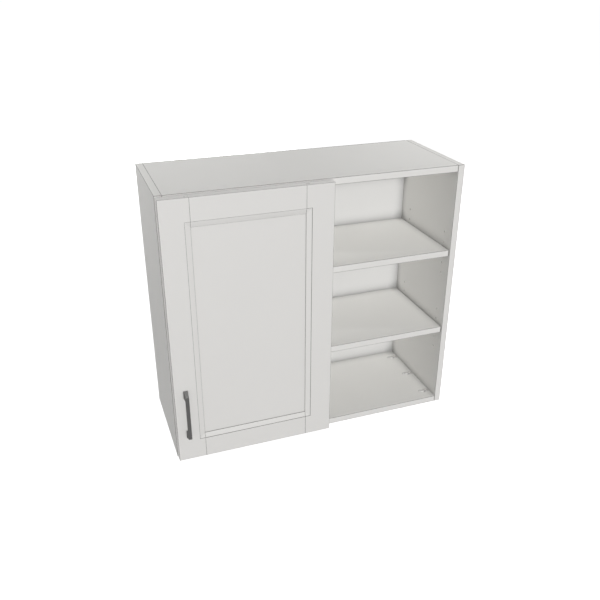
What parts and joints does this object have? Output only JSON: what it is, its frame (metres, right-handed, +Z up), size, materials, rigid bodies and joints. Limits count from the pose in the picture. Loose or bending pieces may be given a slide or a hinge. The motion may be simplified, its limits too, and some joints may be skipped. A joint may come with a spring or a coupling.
{
  "type": "blind corner wall cabinet",
  "caption": "Frameless wall cabinet for a corner: framed door on concealed hinges at the left, open blind part at the right, adjustable shelves.",
  "frame": {"origin": "middle of the whole part's box at its lowest plane: under the case, on the width's centre, half way between the wall and the front of the pull", "axes": "+X to the right, +Y towards the wall, +Z up; the door faces -Y"},
  "size_m": [0.8382, 0.3522, 0.762],
  "materials": {
    "case_board": "white melamine-faced board, satin",
    "back_board": "white coated thin board, satin",
    "edge_strip": "white edge strip, satin",
    "door_lacquer": "white lacquer, satin",
    "pull_metal": "dark graphite, satin",
    "hinge_steel": "nickel plated",
    "screw_steel": "zinc plated",
    "connector_plastic": "light grey moulded plastic",
    "dowel_wood": "plain beech",
    "buffer_rubber": "clear soft plastic"
  },
  "bodies": {
    "case": {"left_side": "case_board", "right_side": "case_board", "top_panel": "case_board", "bottom_panel": "case_board", "back_panel": "back_board", "hanging_rail": "case_board", "hinge_post": "case_board", "case_edge_strips": "edge_strip", "upper_shelf": "case_board", "lower_shelf": "case_board", "shelf_edge_strips": "edge_strip", "shelf_supports": "hinge_steel", "panel_connectors": "connector_plastic", "connector_screws": "screw_steel", "panel_dowels": "dowel_wood", "rail_dowels": "dowel_wood", "post_dowels": "dowel_wood", "back_screws": "screw_steel", "mounting_plates": "hinge_steel", "plate_screws": "screw_steel", "hinge_arms": "hinge_steel", "adjusting_screws": "screw_steel"},
    "door": {"door_left_stile": "door_lacquer", "door_right_stile": "door_lacquer", "door_top_rail": "door_lacquer", "door_bottom_rail": "door_lacquer", "door_panel": "door_lacquer", "bar_pull": "pull_metal", "pull_screws": "screw_steel", "door_buffers": "buffer_rubber", "hinge_cups": "hinge_steel", "hinge_pins": "hinge_steel", "cup_screws": "screw_steel"}
  },
  "joints": [
    {"name": "door_swing", "type": "hinge", "parent": "case", "child": "door", "pos_m": [0.0227, -0.1419, 0.381], "axis": [0, 0, 1], "range_deg": [0, 95]}
  ]
}
